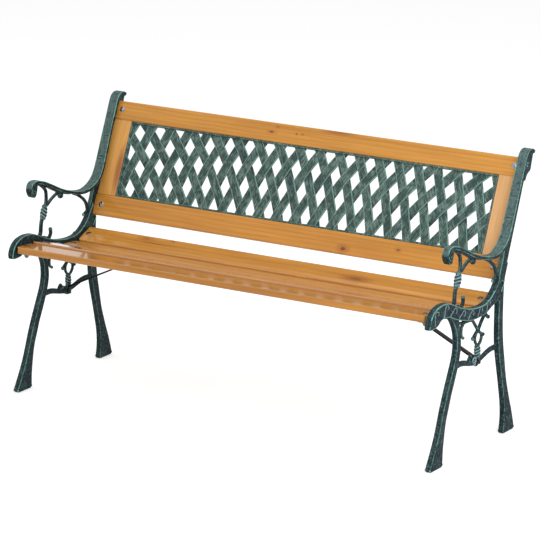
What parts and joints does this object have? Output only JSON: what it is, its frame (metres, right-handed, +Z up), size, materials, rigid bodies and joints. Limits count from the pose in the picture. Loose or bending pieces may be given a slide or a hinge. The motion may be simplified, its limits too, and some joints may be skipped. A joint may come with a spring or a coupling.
{
  "type": "park bench",
  "caption": "Garden bench with scrolled cast end frames, lacquered seat slats and a leaning back of framed open lattice.",
  "frame": {"origin": "on the floor, below the middle of the bounding box", "axes": "+X along the bench, to the right as seen from the front, +Y to the rear, +Z up"},
  "size_m": [1.27, 0.53, 0.7276],
  "materials": {
    "casting": "dark green paint with pale green rubbed edges",
    "wood": "honey-coloured clear lacquer",
    "lattice": "grey-green with pale brushed streaks",
    "black_steel": "black enamel",
    "dowel": "plain beech",
    "zinc": "bright zinc plate"
  },
  "bodies": {
    "root": {"left_end_frame": "casting", "right_end_frame": "casting", "seat_slat_front": "wood", "seat_slat_second": "wood", "seat_slat_third": "wood", "seat_slat_fourth": "wood", "seat_slat_rear": "wood", "back_top_rail": "wood", "back_bottom_rail": "wood", "left_back_stile": "wood", "right_back_stile": "wood", "lattice_panel": "lattice", "left_brace": "black_steel", "right_brace": "black_steel", "left_seat_bolts": "zinc", "right_seat_bolts": "zinc", "left_seat_washers": "zinc", "right_seat_washers": "zinc", "left_seat_nuts": "zinc", "right_seat_nuts": "zinc", "back_bolts": "zinc", "back_washers": "zinc", "back_nuts": "zinc", "brace_bolts": "zinc", "brace_washers": "zinc", "brace_nuts": "zinc", "brace_screws": "zinc", "stile_dowels": "dowel"}
  },
  "joints": []
}
